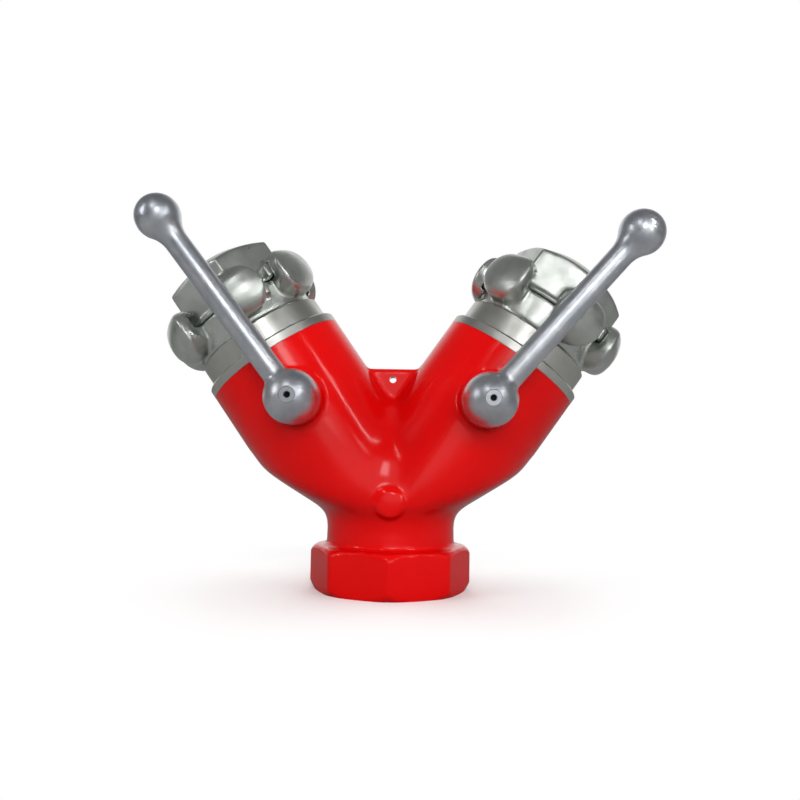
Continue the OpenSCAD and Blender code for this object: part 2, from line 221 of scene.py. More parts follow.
def deselect_all():
    if bpy.context.object and bpy.context.object.mode != "OBJECT":
        bpy.ops.object.mode_set(mode="OBJECT")
    bpy.ops.object.select_all(action="DESELECT")


def take(piece):
    """Makes the piece the only one selected."""
    deselect_all()
    piece.select_set(True)
    bpy.context.view_layer.objects.active = piece
    return piece


def added(name):
    """Names the primitive that was just added and settles its place into its mesh."""
    piece = bpy.context.object
    piece.name = piece.data.name = name
    bpy.ops.object.transform_apply(location=True, rotation=True, scale=True)
    return piece


def placed(piece, place):
    """Moves a piece to a frame and settles it there."""
    take(piece)
    piece.matrix_world = place @ piece.matrix_world
    bpy.ops.object.transform_apply(location=True, rotation=True, scale=True)
    return piece


def edit(piece):
    """Opens the piece in edit mode with everything selected."""
    take(piece)
    bpy.ops.object.mode_set(mode="EDIT")
    bpy.ops.mesh.select_all(action="SELECT")


def done_editing():
    bpy.ops.object.mode_set(mode="OBJECT")


def closed(piece):
    """Merges doubles, fills open loops and turns every face outwards."""
    edit(piece)
    bpy.ops.mesh.remove_doubles(threshold=SAME_PLACE)
    bpy.ops.mesh.fill_holes(sides=0)
    bpy.ops.mesh.normals_make_consistent(inside=False)
    done_editing()
    return piece


def applied(piece, name, kind, **settings):
    """Adds a modifier with these settings and applies it."""
    take(piece)
    modifier = piece.modifiers.new(name, kind)
    for key, value in settings.items():
        setattr(modifier, key, value)
    bpy.ops.object.modifier_apply(modifier=modifier.name)
    return piece


def rod(name, radius, low, high, corners=ROUND):
    deselect_all()
    bpy.ops.mesh.primitive_cylinder_add(
        vertices=corners, radius=radius, depth=high - low, location=(0, 0, (low + high) / 2)
    )
    return added(name)


def block(name, size, centre):
    deselect_all()
    bpy.ops.mesh.primitive_cube_add(size=1, location=centre, scale=size)
    return added(name)


def globe(name, radius, centre):
    deselect_all()
    bpy.ops.mesh.primitive_uv_sphere_add(segments=96, ring_count=48, radius=radius, location=centre)
    return added(name)


def turned(name, outline, corners=ROUND, ring=False):
    """A lathe piece: a circle drawn on through (radius, height) points. A ring ends where it began."""
    deselect_all()
    radius, height = outline[0]
    bpy.ops.mesh.primitive_circle_add(vertices=corners, radius=radius, location=(0, 0, height))
    piece = added(name)
    edit(piece)
    for next_radius, next_height in outline[1:] + (outline[:1] if ring else []):
        bpy.ops.mesh.extrude_region_move(TRANSFORM_OT_translate={"value": (0, 0, next_height - height)})
        grow = next_radius / radius
        bpy.ops.transform.resize(value=(grow, grow, 1), center_override=(0, 0, next_height))
        radius, height = next_radius, next_height
    done_editing()
    return closed(piece)


def swept(name, outline, from_angle, to_angle, steps=12):
    """Part of a ring: an outline of (radius, height) swept from one angle to the other."""
    deselect_all()
    bpy.ops.mesh.primitive_plane_add(size=MM, location=(0, 0, 0))
    piece = added(name)
    edit(piece)
    bpy.ops.mesh.merge(type="CENTER")
    bpy.ops.transform.translate(value=(outline[0][0], 0, outline[0][1]))
    for before, after in zip(outline, outline[1:]):
        bpy.ops.mesh.extrude_vertices_move(
            TRANSFORM_OT_translate={"value": (after[0] - before[0], 0, after[1] - before[1])}
        )
    bpy.ops.mesh.select_all(action="SELECT")
    bpy.ops.mesh.edge_face_add()
    done_editing()
    placed(piece, Matrix.Rotation(from_angle, 4, "Z"))
    edit(piece)
    bpy.ops.mesh.spin(steps=steps, angle=from_angle - to_angle, center=(0, 0, 0), axis=(0, 0, 1))
    done_editing()
    return closed(piece)


def joined(name, pieces):
    """Puts several pieces into one mesh, without cutting them."""
    deselect_all()
    for piece in pieces:
        piece.select_set(True)
    bpy.context.view_layer.objects.active = pieces[0]
    bpy.ops.object.join()
    whole = bpy.context.object
    whole.name = whole.data.name = name
    return whole


def combined(piece, other, how):
    """Adds, cuts or keeps the overlap of a closed piece with another, which is used up."""
    applied(piece, how.lower(), "BOOLEAN", operation=how, solver="MANIFOLD", object=other)
    bpy.data.objects.remove(other)
    return piece


def cut_by(piece, cutters):
    """Cuts the piece with each cutter, then splits the many-sided faces that the cuts leave."""
    for cutter in cutters:
        combined(piece, cutter, "DIFFERENCE")
    edit(piece)
    bpy.ops.mesh.quads_convert_to_tris(quad_method="BEAUTY", ngon_method="BEAUTY")
    bpy.ops.mesh.dissolve_degenerate(threshold=SAME_PLACE)
    done_editing()
    return piece


def cast(name, pieces, grain):
    """Runs overlapping pieces into one skin, as a mould does."""
    whole = joined(name, pieces)
    return applied(whole, "cast", "REMESH", mode="VOXEL", voxel_size=grain, use_smooth_shade=True)


def smoothed(piece, rounds, where=None):
    """Evens out the skin, everywhere or only at the corners that where() picks."""
    edit(piece)
    if where:
        bpy.ops.mesh.select_all(action="DESELECT")
        done_editing()
        picked = [where(vertex.co) for vertex in piece.data.vertices]
        piece.data.vertices.foreach_set("select", picked)
        bpy.ops.object.mode_set(mode="EDIT")
    bpy.ops.mesh.vertices_smooth(factor=0.5, repeat=rounds)
    done_editing()
    return piece


def trimmed(piece, point, normal):
    """Cuts away what lies beyond a plane and closes the cut."""
    edit(piece)
    bpy.ops.mesh.bisect(plane_co=point, plane_no=normal, use_fill=True, clear_outer=True)
    done_editing()
    return piece


def finished(piece, body, node, material, crease=30):
    """Gives a piece its finish, hides the CAD node it stands for and lets it ride on its body."""
    take(piece)
    bpy.ops.object.shade_smooth_by_angle(angle=math.radians(crease))
    piece.data.materials.clear()
    piece.data.materials.append(material)
    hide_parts(node)
    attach(piece, body)
    return piece


def arc(centre, radius, from_angle, to_angle, steps):
    """Points (radius, height) of an arc in a lathe outline, with angles from the outward direction."""
    points = []
    for step in range(steps + 1):
        angle = from_angle + (to_angle - from_angle) * step / steps
        points.append((centre[0] + radius * math.cos(angle), centre[1] + radius * math.sin(angle)))
    return points


# --- Casting ---------------------------------------------------------------------------

def barrel_pair():
    """Both branch barrels, turned down towards the neck by one flare."""
    barrels = []
    for side in SIDES:
        barrel = rod(side + "_barrel", BRANCH_R, 2 * MM, BRANCH_END + 5 * MM)
        barrels.append(placed(barrel, branch_frame(side)))
    pair = combined(barrels[0], barrels[1], "UNION")
    top = ROOT_HEIGHT + BRANCH_END + BRANCH_R
    flare_top_r = NECK_R + (top - FLARE_HEIGHT) * math.tan(FLARE_ANGLE)
    flare = turned("flare", [
        (NECK_R, COLLAR_HEIGHT), (NECK_R, FLARE_HEIGHT), (flare_top_r, top)
    ])
    return combined(pair, flare, "INTERSECT")


def near_fork(corner):
    """The region where barrels, neck and belly run into each other."""
    return FORK_LOW < corner.z < FORK_HIGH and abs(corner.x) < FORK_HALF_WIDTH


def collar_block():
    """Octagon with turned chamfers, left long at its foot for the face cut."""
    octagon = rod("collar", COLLAR_R, -3 * MM, COLLAR_HEIGHT, corners=8)
    rim_r = COLLAR_R - COLLAR_CHAMFER
    spare = 0.1 * MM
    chamfers = turned("collar_chamfers", [
        (rim_r - 3 * MM, -3 * MM), (COLLAR_R + spare, COLLAR_CHAMFER + spare),
        (COLLAR_R + spare, COLLAR_HEIGHT - COLLAR_CHAMFER - spare), (rim_r, COLLAR_HEIGHT)
    ])
    return combined(octagon, chamfers, "INTERSECT")


def inlet_thread():
    """Solid male form of the inlet thread, which cuts the thread into the collar."""
    deselect_all()
    bpy.ops.mesh.primitive_plane_add(size=MM, location=(0, 0, 0))
    thread = added("inlet_thread")
    outline = [
        (THREAD_CREST_R, 0), (THREAD_CREST_R, 0.16), (THREAD_ROOT_R, 0.5),
        (THREAD_ROOT_R, 0.66), (THREAD_CREST_R, 1)
    ]
    edit(thread)
    bpy.ops.mesh.merge(type="CENTER")
    bpy.ops.transform.translate(value=(outline[0][0], 0, -THREAD_RUN_IN * THREAD_PITCH))
    for before, after in zip(outline, outline[1:]):
        step = (after[0] - before[0], 0, (after[1] - before[1]) * THREAD_PITCH)
        bpy.ops.mesh.extrude_vertices_move(TRANSFORM_OT_translate={"value": step})
    done_editing()
    turns = math.ceil(THREAD_DEPTH / THREAD_PITCH) + THREAD_RUN_IN + 2
    applied(thread, "helix", "SCREW", axis="Z", screw_offset=THREAD_PITCH, iterations=turns,
            steps=96, render_steps=96, use_merge_vertices=True, merge_threshold=1e-5)
    edit(thread)
    bpy.ops.mesh.remove_doubles(threshold=SAME_PLACE)
    done_editing()
    trimmed(thread, (0, 0, -2 * MM), (0, 0, -1))
    trimmed(thread, (0, 0, THREAD_DEPTH), (0, 0, 1))
    return closed(thread)


def branch_cavity(side):
    """Passage, seat pocket and ball chamber of a branch, out past its end."""
    lip = BALL_REACH - SEAT_FAR
    past_rim = BRANCH_R + 8 * MM
    cavity = turned(side + "_cavity", [
        (PASSAGE_R, 2 * MM), (PASSAGE_R, lip - 3 * MM), (BORE_R, lip - 3 * MM), (BORE_R, lip),
        (SEAT_R, lip), (SEAT_R, BALL_REACH - SEAT_NEAR), (CHAMBER_R, BALL_REACH - SEAT_NEAR),
        (CHAMBER_R, BRANCH_END), (past_rim, BRANCH_END), (past_rim, BRANCH_END + 9 * MM)
    ])
    return placed(cavity, branch_frame(side))


def stem_cavity(side):
    """Pocket of the stem's shoulder, the stem's hole and the gland's pocket."""
    cavity = turned(side + "_stem_hole", [
        (POCKET_R, BALL_R - 2 * MM), (POCKET_R, POCKET_END), (STEM_R, POCKET_END),
        (STEM_R, GLAND_START), (GLAND_R, GLAND_START), (GLAND_R, BOSS_REACH + PAST_FACE)
    ], corners=64)
    return placed(cavity, stem_frame(side))


def pin_hole(side):
    """Hole of the stop pin, beside the stem."""
    hole = rod(side + "_pin_hole", PIN_R + 0.05 * MM, GLAND_START, BOSS_REACH + PAST_FACE, corners=24)
    placed(hole, Matrix.Translation((0, -PIN_OFFSET, 0)))
    return placed(hole, stem_frame(side))


def web_plate():
    """Plate between the branches; its ends and foot lie inside the casting."""
    half_gap = (WEB_TOP - ROOT_HEIGHT) * math.tan(BRANCH_TILT) - BRANCH_R / math.cos(BRANCH_TILT)
    width = 2 * (half_gap + 3 * MM)
    return block("web", (width, WEB_THICK, WEB_TOP - WEB_FOOT), (0, 0, (WEB_TOP + WEB_FOOT) / 2))


def neck_pad():
    """Blank round pad on the front of the neck, with a slight dome."""
    rim_angle = math.acos(PAD_R / PAD_DOME_R)
    dome = arc((0, PAD_REACH - PAD_DOME_R), PAD_DOME_R, rim_angle, math.radians(89), 10)
    pad = turned("pad", [(PAD_R, NECK_BORE_R + 3 * MM)] + dome, corners=64)
    return placed(pad, facing_front(PAD_HEIGHT))


def stem_boss(side):
    boss = rod(side + "_boss", BOSS_R, CHAMBER_R + 2 * MM, BOSS_REACH, corners=96)
    return placed(boss, stem_frame(side))


def neck_bore():
    """Bore above the thread, up to a roof that leans as the branches do."""
    roof = ROOT_HEIGHT + 7 * MM
    return turned("neck_bore", [
        (NECK_BORE_R, THREAD_DEPTH - 1 * MM), (NECK_BORE_R, roof),
        (NECK_BORE_R / 2, roof + NECK_BORE_R / 2 / math.tan(BRANCH_TILT))
    ])


def web_hole():
    hole = rod("web_hole", WEB_HOLE_R, -WEB_THICK, WEB_THICK, corners=32)
    return placed(hole, facing_front(WEB_TOP - WEB_HOLE_DROP))


def make_body():
    neck = rod("neck", NECK_R, 12 * MM, FLARE_HEIGHT + 12 * MM)
    belly = globe("belly", BELLY_R, (0, 0, BELLY_HEIGHT))
    skin = cast("body_casting", [barrel_pair(), neck, belly], FORK_GRAIN)
    smoothed(skin, FORK_ROUNDS, near_fork)
    added_on = [web_plate(), neck_pad(), collar_block()] + [stem_boss(side) for side in SIDES]
    skin = cast("body_casting", [skin] + added_on, CASTING_GRAIN)
    smoothed(skin, CASTING_ROUNDS)
    below_face = block("below_face", (0.3, 0.3, 0.02), (0, 0, -0.01))
    cutters = [below_face, inlet_thread(), neck_bore(), web_hole()]
    for side in SIDES:
        cutters += [branch_cavity(side), stem_cavity(side), pin_hole(side)]
    cut_by(skin, cutters)
    return finished(skin, "breeching", "body", red_enamel(), crease=35)


# --- Adapters --------------------------------------------------------------------------

def make_end_adapter(side):
    """Screwed end piece: spigot in the branch, flange, collar and the coupling's nipple."""
    spigot_start = BALL_REACH + SEAT_NEAR
    spigot_r = CHAMBER_R - 0.05 * MM
    seat_end = BALL_REACH + SEAT_FAR
    nipple_end = ADAPTER_TOP + COUPLING_HEIGHT / 2
    edge = 0.8 * MM
    small = 0.35 * MM
    adapter = turned(side + "_end_adapter_turned", [
        (BORE_R, seat_end), (SEAT_R, seat_end), (SEAT_R, spigot_start), (spigot_r, spigot_start),
        (spigot_r, BRANCH_END), (BRANCH_R - small, BRANCH_END), (BRANCH_R, BRANCH_END + small),
        (BRANCH_R, FLANGE_TOP - edge), (BRANCH_R - edge, FLANGE_TOP), (ADAPTER_R + edge, FLANGE_TOP),
        (ADAPTER_R, FLANGE_TOP + edge), (ADAPTER_R, ADAPTER_TOP - edge),
        (ADAPTER_R - edge, ADAPTER_TOP), (NIPPLE_R, ADAPTER_TOP),
        (NIPPLE_R, nipple_end), (BORE_R, nipple_end)
    ], ring=True)
    placed(adapter, branch_frame(side))
    return finished(adapter, "breeching", side + "_end_adapter", TURNED_ALUMINIUM[side])


# --- Couplings and caps ----------------------------------------------------------------

def claw():
    """A forged claw: bulging on the outside, hooked inwards at its tip."""
    bulge = RING_R + 1 * MM
    swell = arc((0, 0), 1, -math.pi / 2, math.pi / 2, 12)
    back = [(bulge + (CLAW_R - bulge) * x ** 0.7, CLAW_REACH * y) for x, y in
            ((max(x, 0), y) for x, y in swell)]
    over_ramp = RAMP_THICK + 0.6 * MM
    past_ramp = RAMP_R + 0.3 * MM
    hook = [
        (HOOK_R, over_ramp), (past_ramp, over_ramp), (past_ramp, -HALF_GAP),
        (ROOT_R, -HALF_GAP), (ROOT_R, -CLAW_REACH)
    ]
    piece = swept("claw", back + hook, -CLAW_WIDTH / 2, CLAW_WIDTH / 2)
    lobe = rod("lobe", CLAW_REACH + 0.6 * MM, ROOT_R - 6 * MM, CLAW_R + 6 * MM, corners=64)
    placed(lobe, Matrix.Rotation(math.pi / 2, 4, "Y"))
    return combined(piece, lobe, "INTERSECT")


def coupling_half(name, height, extra):
    """Ring, ramps and three claws run into one forging, face at z = 0 and claws pointing up."""
    chamfer = 1 * MM
    face_chamfer = 0.5 * MM
    ring = turned(name + "_ring", [
        (RING_R - chamfer, -height), (RING_R, -height + chamfer), (RING_R, -HALF_GAP - face_chamfer),
        (RING_R - face_chamfer, -HALF_GAP)
    ])
    parts = [ring] + extra
    ramp_outline = [
        (ROOT_R, -RAMP_THICK), (RAMP_R, -RAMP_THICK), (RAMP_R, -HALF_GAP), (ROOT_R, -HALF_GAP)
    ]
    for third in range(3):
        turn = Matrix.Rotation(math.radians(120) * third, 4, "Z")
        parts.append(placed(claw(), turn))
        parts.append(placed(swept("ramp", ramp_outline, RAMP_FROM, RAMP_TO), turn))
    return smoothed(cast(name, parts, FORGING_GRAIN), FORGING_ROUNDS)


def make_claw_coupling(side):
    coupling = coupling_half(side + "_claw_coupling_forged", COUPLING_HEIGHT, [])
    slack = 0.05 * MM
    back = -COUPLING_HEIGHT - MM
    socket = rod("socket", NIPPLE_R + slack, back, -COUPLING_HEIGHT / 2 + slack)
    bore = rod("bore", BORE_R, back, 2 * MM)
    recess = rod("recess", GASKET_R, -GASKET_THICK, 2 * MM)
    cut_by(coupling, [socket, bore, recess])
    placed(coupling, coupling_frame(side))
    return finished(coupling, "breeching", side + "_claw_coupling", FORGED_ALUMINIUM)


def cap_hexagon():
    """The cap's hexagon under its turned crown."""
    hexagon = rod("cap_hexagon", CAP_HEX_R, -CAP_HEIGHT, -CAP_RIM + 1 * MM, corners=6)
    placed(hexagon, Matrix.Rotation(math.radians(30), 4, "Z"))
    edge_r = CAP_HEX_R + 1 * MM
    crown_drop = (edge_r - CAP_CROWN_R) * CAP_CROWN_SLOPE
    crown = turned("cap_crown", [
        (CAP_CROWN_R, -CAP_HEIGHT), (edge_r, -CAP_HEIGHT + crown_drop), (edge_r, 0)
    ])
    return combined(hexagon, crown, "INTERSECT")


def make_cap(side):
    cap = coupling_half(side + "_cap_forged", CAP_RIM, [cap_hexagon()])
    hollow = rod("hollow", BORE_R, -CAP_HEIGHT + CAP_WALL, 2 * MM)
    recess = rod("recess", GASKET_R, -GASKET_THICK, 2 * MM)
    cut_by(cap, [hollow, recess])
    placed(cap, cap_frame(side))
    return finished(cap, side + "_cap", side + "_cap", FORGED_ALUMINIUM)


# --- Levers ----------------------------------------------------------------------------

def fillet_to_arm(ball_r, fillet_r):
    """Height of a fillet's centre over a ball's centre, and the angle where it leaves the ball."""
    reach = ARM_R + fillet_r
    height = math.sqrt((ball_r + fillet_r) ** 2 - reach ** 2)
    return height, math.atan2(height, reach)


def lever_outline():
    """Hub, arm and knob in one turned outline, from the hub's foot to the knob's crown."""
    near_pole = math.radians(88.5)
    hub_fillet, knob_fillet = 3.5 * MM, 16 * MM
    hub_height, hub_angle = fillet_to_arm(HUB_R, hub_fillet)
    knob_height, knob_angle = fillet_to_arm(KNOB_R, knob_fillet)
    outline = arc((0, 0), HUB_R, -near_pole, hub_angle, 36)
    outline += arc((ARM_R + hub_fillet, hub_height), hub_fillet, hub_angle - math.pi, -math.pi, 8)[1:]
    outline += arc((ARM_R + knob_fillet, LEVER_LENGTH - knob_height), knob_fillet,
                   math.pi, math.pi - knob_angle, 12)
    outline += arc((0, LEVER_LENGTH), KNOB_R, -knob_angle, near_pole, 36)[1:]
    return outline


def pin_slot(side):
    """Slot in the hub's back that the stop pin runs in through the quarter turn."""
    spread = math.asin(PIN_R / PIN_OFFSET) + math.radians(2)
    quarter = math.radians(90)
    if side == "right":
        slot_from, slot_to = -quarter - spread, spread
    else:
        slot_from, slot_to = -2 * quarter - spread, -quarter + spread
    inner_r = PIN_OFFSET - PIN_R - 0.3 * MM
    outer_r = PIN_OFFSET + PIN_R + 0.3 * MM
    slot_end = PIN_TIP + 0.5 * MM
    return swept("pin_slot", [
        (inner_r, LEVER_BACK - MM), (outer_r, LEVER_BACK - MM), (outer_r, slot_end), (inner_r, slot_end)
    ], slot_from, slot_to, steps=24)


def counterbore():
    """Pocket of the screw's head, opening out at the crown of the hub."""
    crown = HUB_REACH + HUB_R
    return turned("counterbore", [
        (SCREW_HEAD_R, SCREW_HEAD_START), (SCREW_HEAD_R, crown - 0.9 * MM),
        (SCREW_HEAD_R + 1.2 * MM, crown + 0.3 * MM)
    ], corners=48)


def make_lever(side):
    lever = turned(side + "_lever_polished", lever_outline(), corners=96)
    lean = Matrix.Rotation(LEVER_LEAN - math.pi / 2, 4, "X")
    placed(lever, Matrix.Translation((0, 0, HUB_REACH)) @ lean)
    skirt = turned("skirt", [
        (HUB_R - 0.9 * MM, LEVER_BACK), (HUB_R - 0.25 * MM, LEVER_BACK + 0.65 * MM),
        (HUB_R - 0.05 * MM, HUB_REACH)
    ], corners=96)
    lever = smoothed(cast(side + "_lever_polished", [lever, skirt], LEVER_GRAIN), LEVER_ROUNDS)
    cut_by(lever, [
        rod("back", HUB_R + 9 * MM, LEVER_BACK - 20 * MM, LEVER_BACK, corners=64),
        block("square", (SQUARE_W, SQUARE_W, SQUARE_END), (0, 0, SQUARE_END / 2)),
        rod("screw_hole", SCREW_R, SQUARE_END - MM, SCREW_HEAD_START + MM, corners=32),
        counterbore(), pin_slot(side)
    ])
    placed(lever, lever_frame(side))
    return finished(lever, side + "_valve", side + "_lever", POLISHED_METAL)


# --- Finishes --------------------------------------------------------------------------

class Finish:
    """A node material, with its nodes added and linked by short calls."""

    def __init__(self, name, colour, metallic, roughness):
        self.material = bpy.data.materials.new(name)
        self.material.use_nodes = True
        self.tree = self.material.node_tree
        self.shader = self.tree.nodes["Principled BSDF"]
        self.shader.inputs["Base Color"].default_value = (*colour, 1)
        self.shader.inputs["Metallic"].default_value = metallic
        self.shader.inputs["Roughness"].default_value = roughness
        self.place = self.node("ShaderNodeTexCoord").outputs["Object"]

    def node(self, kind, **inputs):
        made = self.tree.nodes.new(kind)
        for key, value in inputs.items():
            made.inputs[key.replace("_", " ")].default_value = value
        return made

    def link(self, source, target):
        self.tree.links.new(source, target)

    def turned_place(self, rotation):
        """Object coordinates turned so that Z runs along a piece's own axis."""
        mapping = self.node("ShaderNodeMapping")
        mapping.inputs["Rotation"].default_value = rotation
        self.link(self.place, mapping.inputs["Vector"])
        return mapping.outputs["Vector"]

    def noise(self, scale, detail=2.0, roughness=0.5, stretch=None, place=None):
        noise = self.node("ShaderNodeTexNoise", Scale=scale, Detail=detail, Roughness=roughness)
        source = place or self.place
        if stretch:
            mapping = self.node("ShaderNodeMapping")
            mapping.inputs["Scale"].default_value = stretch
            self.link(source, mapping.inputs["Vector"])
            source = mapping.outputs["Vector"]
        self.link(source, noise.inputs["Vector"])
        return noise.outputs["Fac"]

    def spread(self, value, low, high, from_low=0.3, from_high=0.7):
        """Maps a pattern's middle range onto low to high."""
        ranged = self.node("ShaderNodeMapRange")
        self.link(value, ranged.inputs["Value"])
        ranged.inputs["From Min"].default_value = from_low
        ranged.inputs["From Max"].default_value = from_high
        ranged.inputs["To Min"].default_value = low
        ranged.inputs["To Max"].default_value = high
        return ranged.outputs["Result"]

    def tint(self, value, dark, light):
        """Colours the surface from dark to light by a pattern."""
        ramp = self.tree.nodes.new("ShaderNodeValToRGB")
        ramp.color_ramp.elements[0].position = 0.3
        ramp.color_ramp.elements[0].color = (*dark, 1)
        ramp.color_ramp.elements[1].position = 0.7
        ramp.color_ramp.elements[1].color = (*light, 1)
        self.link(value, ramp.inputs["Fac"])
        self.link(ramp.outputs["Color"], self.shader.inputs["Base Color"])

    def vary_roughness(self, value, low, high):
        self.link(self.spread(value, low, high), self.shader.inputs["Roughness"])

    def bump(self, value, distance, strength, under=None):
        """Raises the surface by a pattern, over another bump if one is given."""
        bump = self.node("ShaderNodeBump", Strength=strength, Distance=distance)
        self.link(value, bump.inputs["Height"])
        if under:
            self.link(under, bump.inputs["Normal"])
        self.link(bump.outputs["Normal"], self.shader.inputs["Normal"])
        return bump.outputs["Normal"]


def red_enamel():
    """Gloss enamel sprayed over a casting: slight sag under it and a fine orange peel."""
    finish = Finish("red_enamel", (0.62, 0.001, 0.0012), 0.0, 0.16)
    finish.tint(finish.noise(14, 3), (0.50, 0.0006, 0.0008), (0.60, 0.0014, 0.0016))
    finish.vary_roughness(finish.noise(40, 3), 0.10, 0.19)
    finish.shader.inputs["Specular IOR Level"].default_value = 0.24
    sag = finish.bump(finish.noise(45, 1), 0.20 * MM, 0.45)
    finish.bump(finish.noise(480, 2), 0.02 * MM, 0.3, under=sag)
    return finish.material


def forged_aluminium():
    """Tumbled forging: soft mottling, shallow dents and a fine sandy skin."""
    finish = Finish("forged_aluminium", (0.62, 0.65, 0.61), 1.0, 0.36)
    finish.tint(finish.noise(45, 4, 0.6), (0.50, 0.53, 0.49), (0.72, 0.75, 0.72))
    finish.vary_roughness(finish.noise(120, 3), 0.26, 0.42)
    dents = finish.bump(finish.noise(140, 2), 0.12 * MM, 0.5)
    finish.bump(finish.noise(1400, 3, 0.7), 0.03 * MM, 0.6, under=dents)
    return finish.material


def turned_aluminium(side):
    """Machined casting: tool marks that run round the branch's axis."""
    finish = Finish(side + "_turned_aluminium", (0.62, 0.62, 0.59), 1.0, 0.38)
    along = finish.turned_place((0, -SIDES[side] * BRANCH_TILT, 0))
    finish.tint(finish.noise(30, 3), (0.54, 0.54, 0.51), (0.70, 0.70, 0.66))
    finish.vary_roughness(finish.noise(90, 3), 0.30, 0.44)
    marks = finish.noise(1.0, 2, 0.5, stretch=(4, 4, 1600), place=along)
    finish.bump(marks, 0.02 * MM, 0.5)
    return finish.material


def polished_metal():
    """Hand-polished forging: shallow lows, a soft mottle and a fine grain."""
    finish = Finish("polished_lever", (0.64, 0.67, 0.71), 1.0, 0.27)
    finish.tint(finish.noise(90, 4, 0.6), (0.52, 0.56, 0.62), (0.74, 0.76, 0.79))
    finish.vary_roughness(finish.noise(260, 4, 0.65), 0.30, 0.42)
    lows = finish.bump(finish.noise(110, 1), 0.06 * MM, 0.35)
    finish.bump(finish.noise(1100, 2, 0.6), 0.010 * MM, 0.35, under=lows)
    return finish.material


def plain_finish(name, colour, metallic, roughness, grain, mottle=0.12):
    """Finish of a hidden piece: mottled, slightly uneven in gloss, with a fine grain."""
    finish = Finish(name, colour, metallic, roughness)
    dark = tuple(c * (1 - mottle) for c in colour)
    light = tuple(min(1, c * (1 + mottle)) for c in colour)
    finish.tint(finish.noise(80, 3), dark, light)
    finish.vary_roughness(finish.noise(200, 3), roughness * 0.8, min(1, roughness * 1.25))
    finish.bump(finish.noise(grain, 3), 0.02 * MM, 0.5)
    return finish.material


def screw_steel():
    """Plated screw with painted shade, near black, in its socket. Both screws are folded onto the right
    one's axis.
    """
    # The second colour is painted shade for the inside of the socket, not a real deposit.
    bare, painted_socket_shade = (0.50, 0.52, 0.55), (0.012, 0.012, 0.013)
    finish = Finish("screw_steel", bare, 1.0, 0.32)
    finish.bump(finish.noise(1300, 3), 0.02 * MM, 0.5)
    place = finish.place
    from_axis = {"ABSOLUTE": None, "SUBTRACT": (right_ball.x, 0, right_ball.z), "MULTIPLY": (1, 0, 1)}
    for operation, value in from_axis.items():
        step = finish.node("ShaderNodeVectorMath")
        step.operation = operation
        finish.link(place, step.inputs[0])
        if value:
            step.inputs[1].default_value = value
        place = step.outputs["Vector"]
    radius = finish.node("ShaderNodeVectorMath")
    radius.operation = "LENGTH"
    finish.link(place, radius.inputs[0])
    # Painted shade: near black inside the socket's radius, fading to bare steel over the next 0.4 mm, where
    # the hole falls in shade.
    past_painted_shade = finish.spread(radius.outputs["Value"], 0, 1, SOCKET_R, SOCKET_R + 0.4 * MM)
    mixed = finish.node("ShaderNodeMix")
    mixed.data_type = "RGBA"
    finish.link(past_painted_shade, mixed.inputs["Factor"])
    mixed.inputs["A"].default_value = (*painted_socket_shade, 1)
    mixed.inputs["B"].default_value = (*bare, 1)
    finish.link(mixed.outputs["Result"], finish.shader.inputs["Base Color"])
    finish.vary_roughness(finish.noise(900, 3), 0.28, 0.42)
    return finish.material


def finish_hidden_pieces():
    """CAD nodes that stay as they are, each with its own finish."""
    chrome = plain_finish("valve_chrome", (0.75, 0.76, 0.78), 1.0, 0.08, 700, 0.04)
    steel = plain_finish("stem_steel", (0.55, 0.55, 0.56), 1.0, 0.3, 900)
    brass = plain_finish("gland_brass", (0.78, 0.57, 0.22), 1.0, 0.3, 900)
    ptfe = plain_finish("white_ptfe", (0.86, 0.86, 0.84), 0.0, 0.5, 500, 0.03)
    rubber = plain_finish("black_rubber", (0.03, 0.03, 0.03), 0.0, 0.65, 1200, 0.2)
    screw = screw_steel()
    by_kind = {
        "ball": chrome, "stem": steel, "stop_pin": steel, "gland": brass, "inner_seat": ptfe,
        "outer_seat": ptfe, "thrust_washer": ptfe, "adapter_seal": rubber, "stem_seals": rubber,
        "coupling_gasket": rubber, "cap_gasket": rubber, "lever_screw": screw
    }
    for side in SIDES:
        for kind, material in by_kind.items():
            node = frame["nodes"][side + "_" + kind]
            node.data.materials.clear()
            node.data.materials.append(material)


# --- Studio ----------------------------------------------------------------------------

def make_camera():
    """A close camera a little below the middle of the object, looking slightly up."""
    target = Vector((4.25 * MM, 0, 109.05 * MM))
    distance = 441.8 * MM
    elevation, azimuth, roll = math.radians(-3.86), math.radians(0.55), math.radians(0.95)
    level = math.cos(elevation)
    back = Vector((math.sin(azimuth) * level, -math.cos(azimuth) * level, math.sin(elevation)))
    bpy.ops.object.camera_add(location=target + distance * back)
    camera = bpy.context.object
    camera.name = "camera"
    aim = back.to_track_quat("Z", "Y").to_matrix()
    camera.rotation_euler = (aim @ Matrix.Rotation(roll, 3, "Z")).to_euler()
    camera.data.sensor_width = SENSOR
    camera.data.lens = LENS
    camera.data.clip_start = 0.01
    bpy.context.scene.camera = camera


def softbox(name, place, aim, size, power):
    """White rectangular lamp at a place, turned to what it lights."""
    bpy.ops.object.light_add(type="AREA", location=place)
    light = bpy.context.object
    light.name = name
    light.rotation_euler = (Vector(place) - Vector(aim)).to_track_quat("Z", "Y").to_euler()
    light.data.shape = "RECTANGLE"
    light.data.size, light.data.size_y = size
    light.data.energy = power
    return light


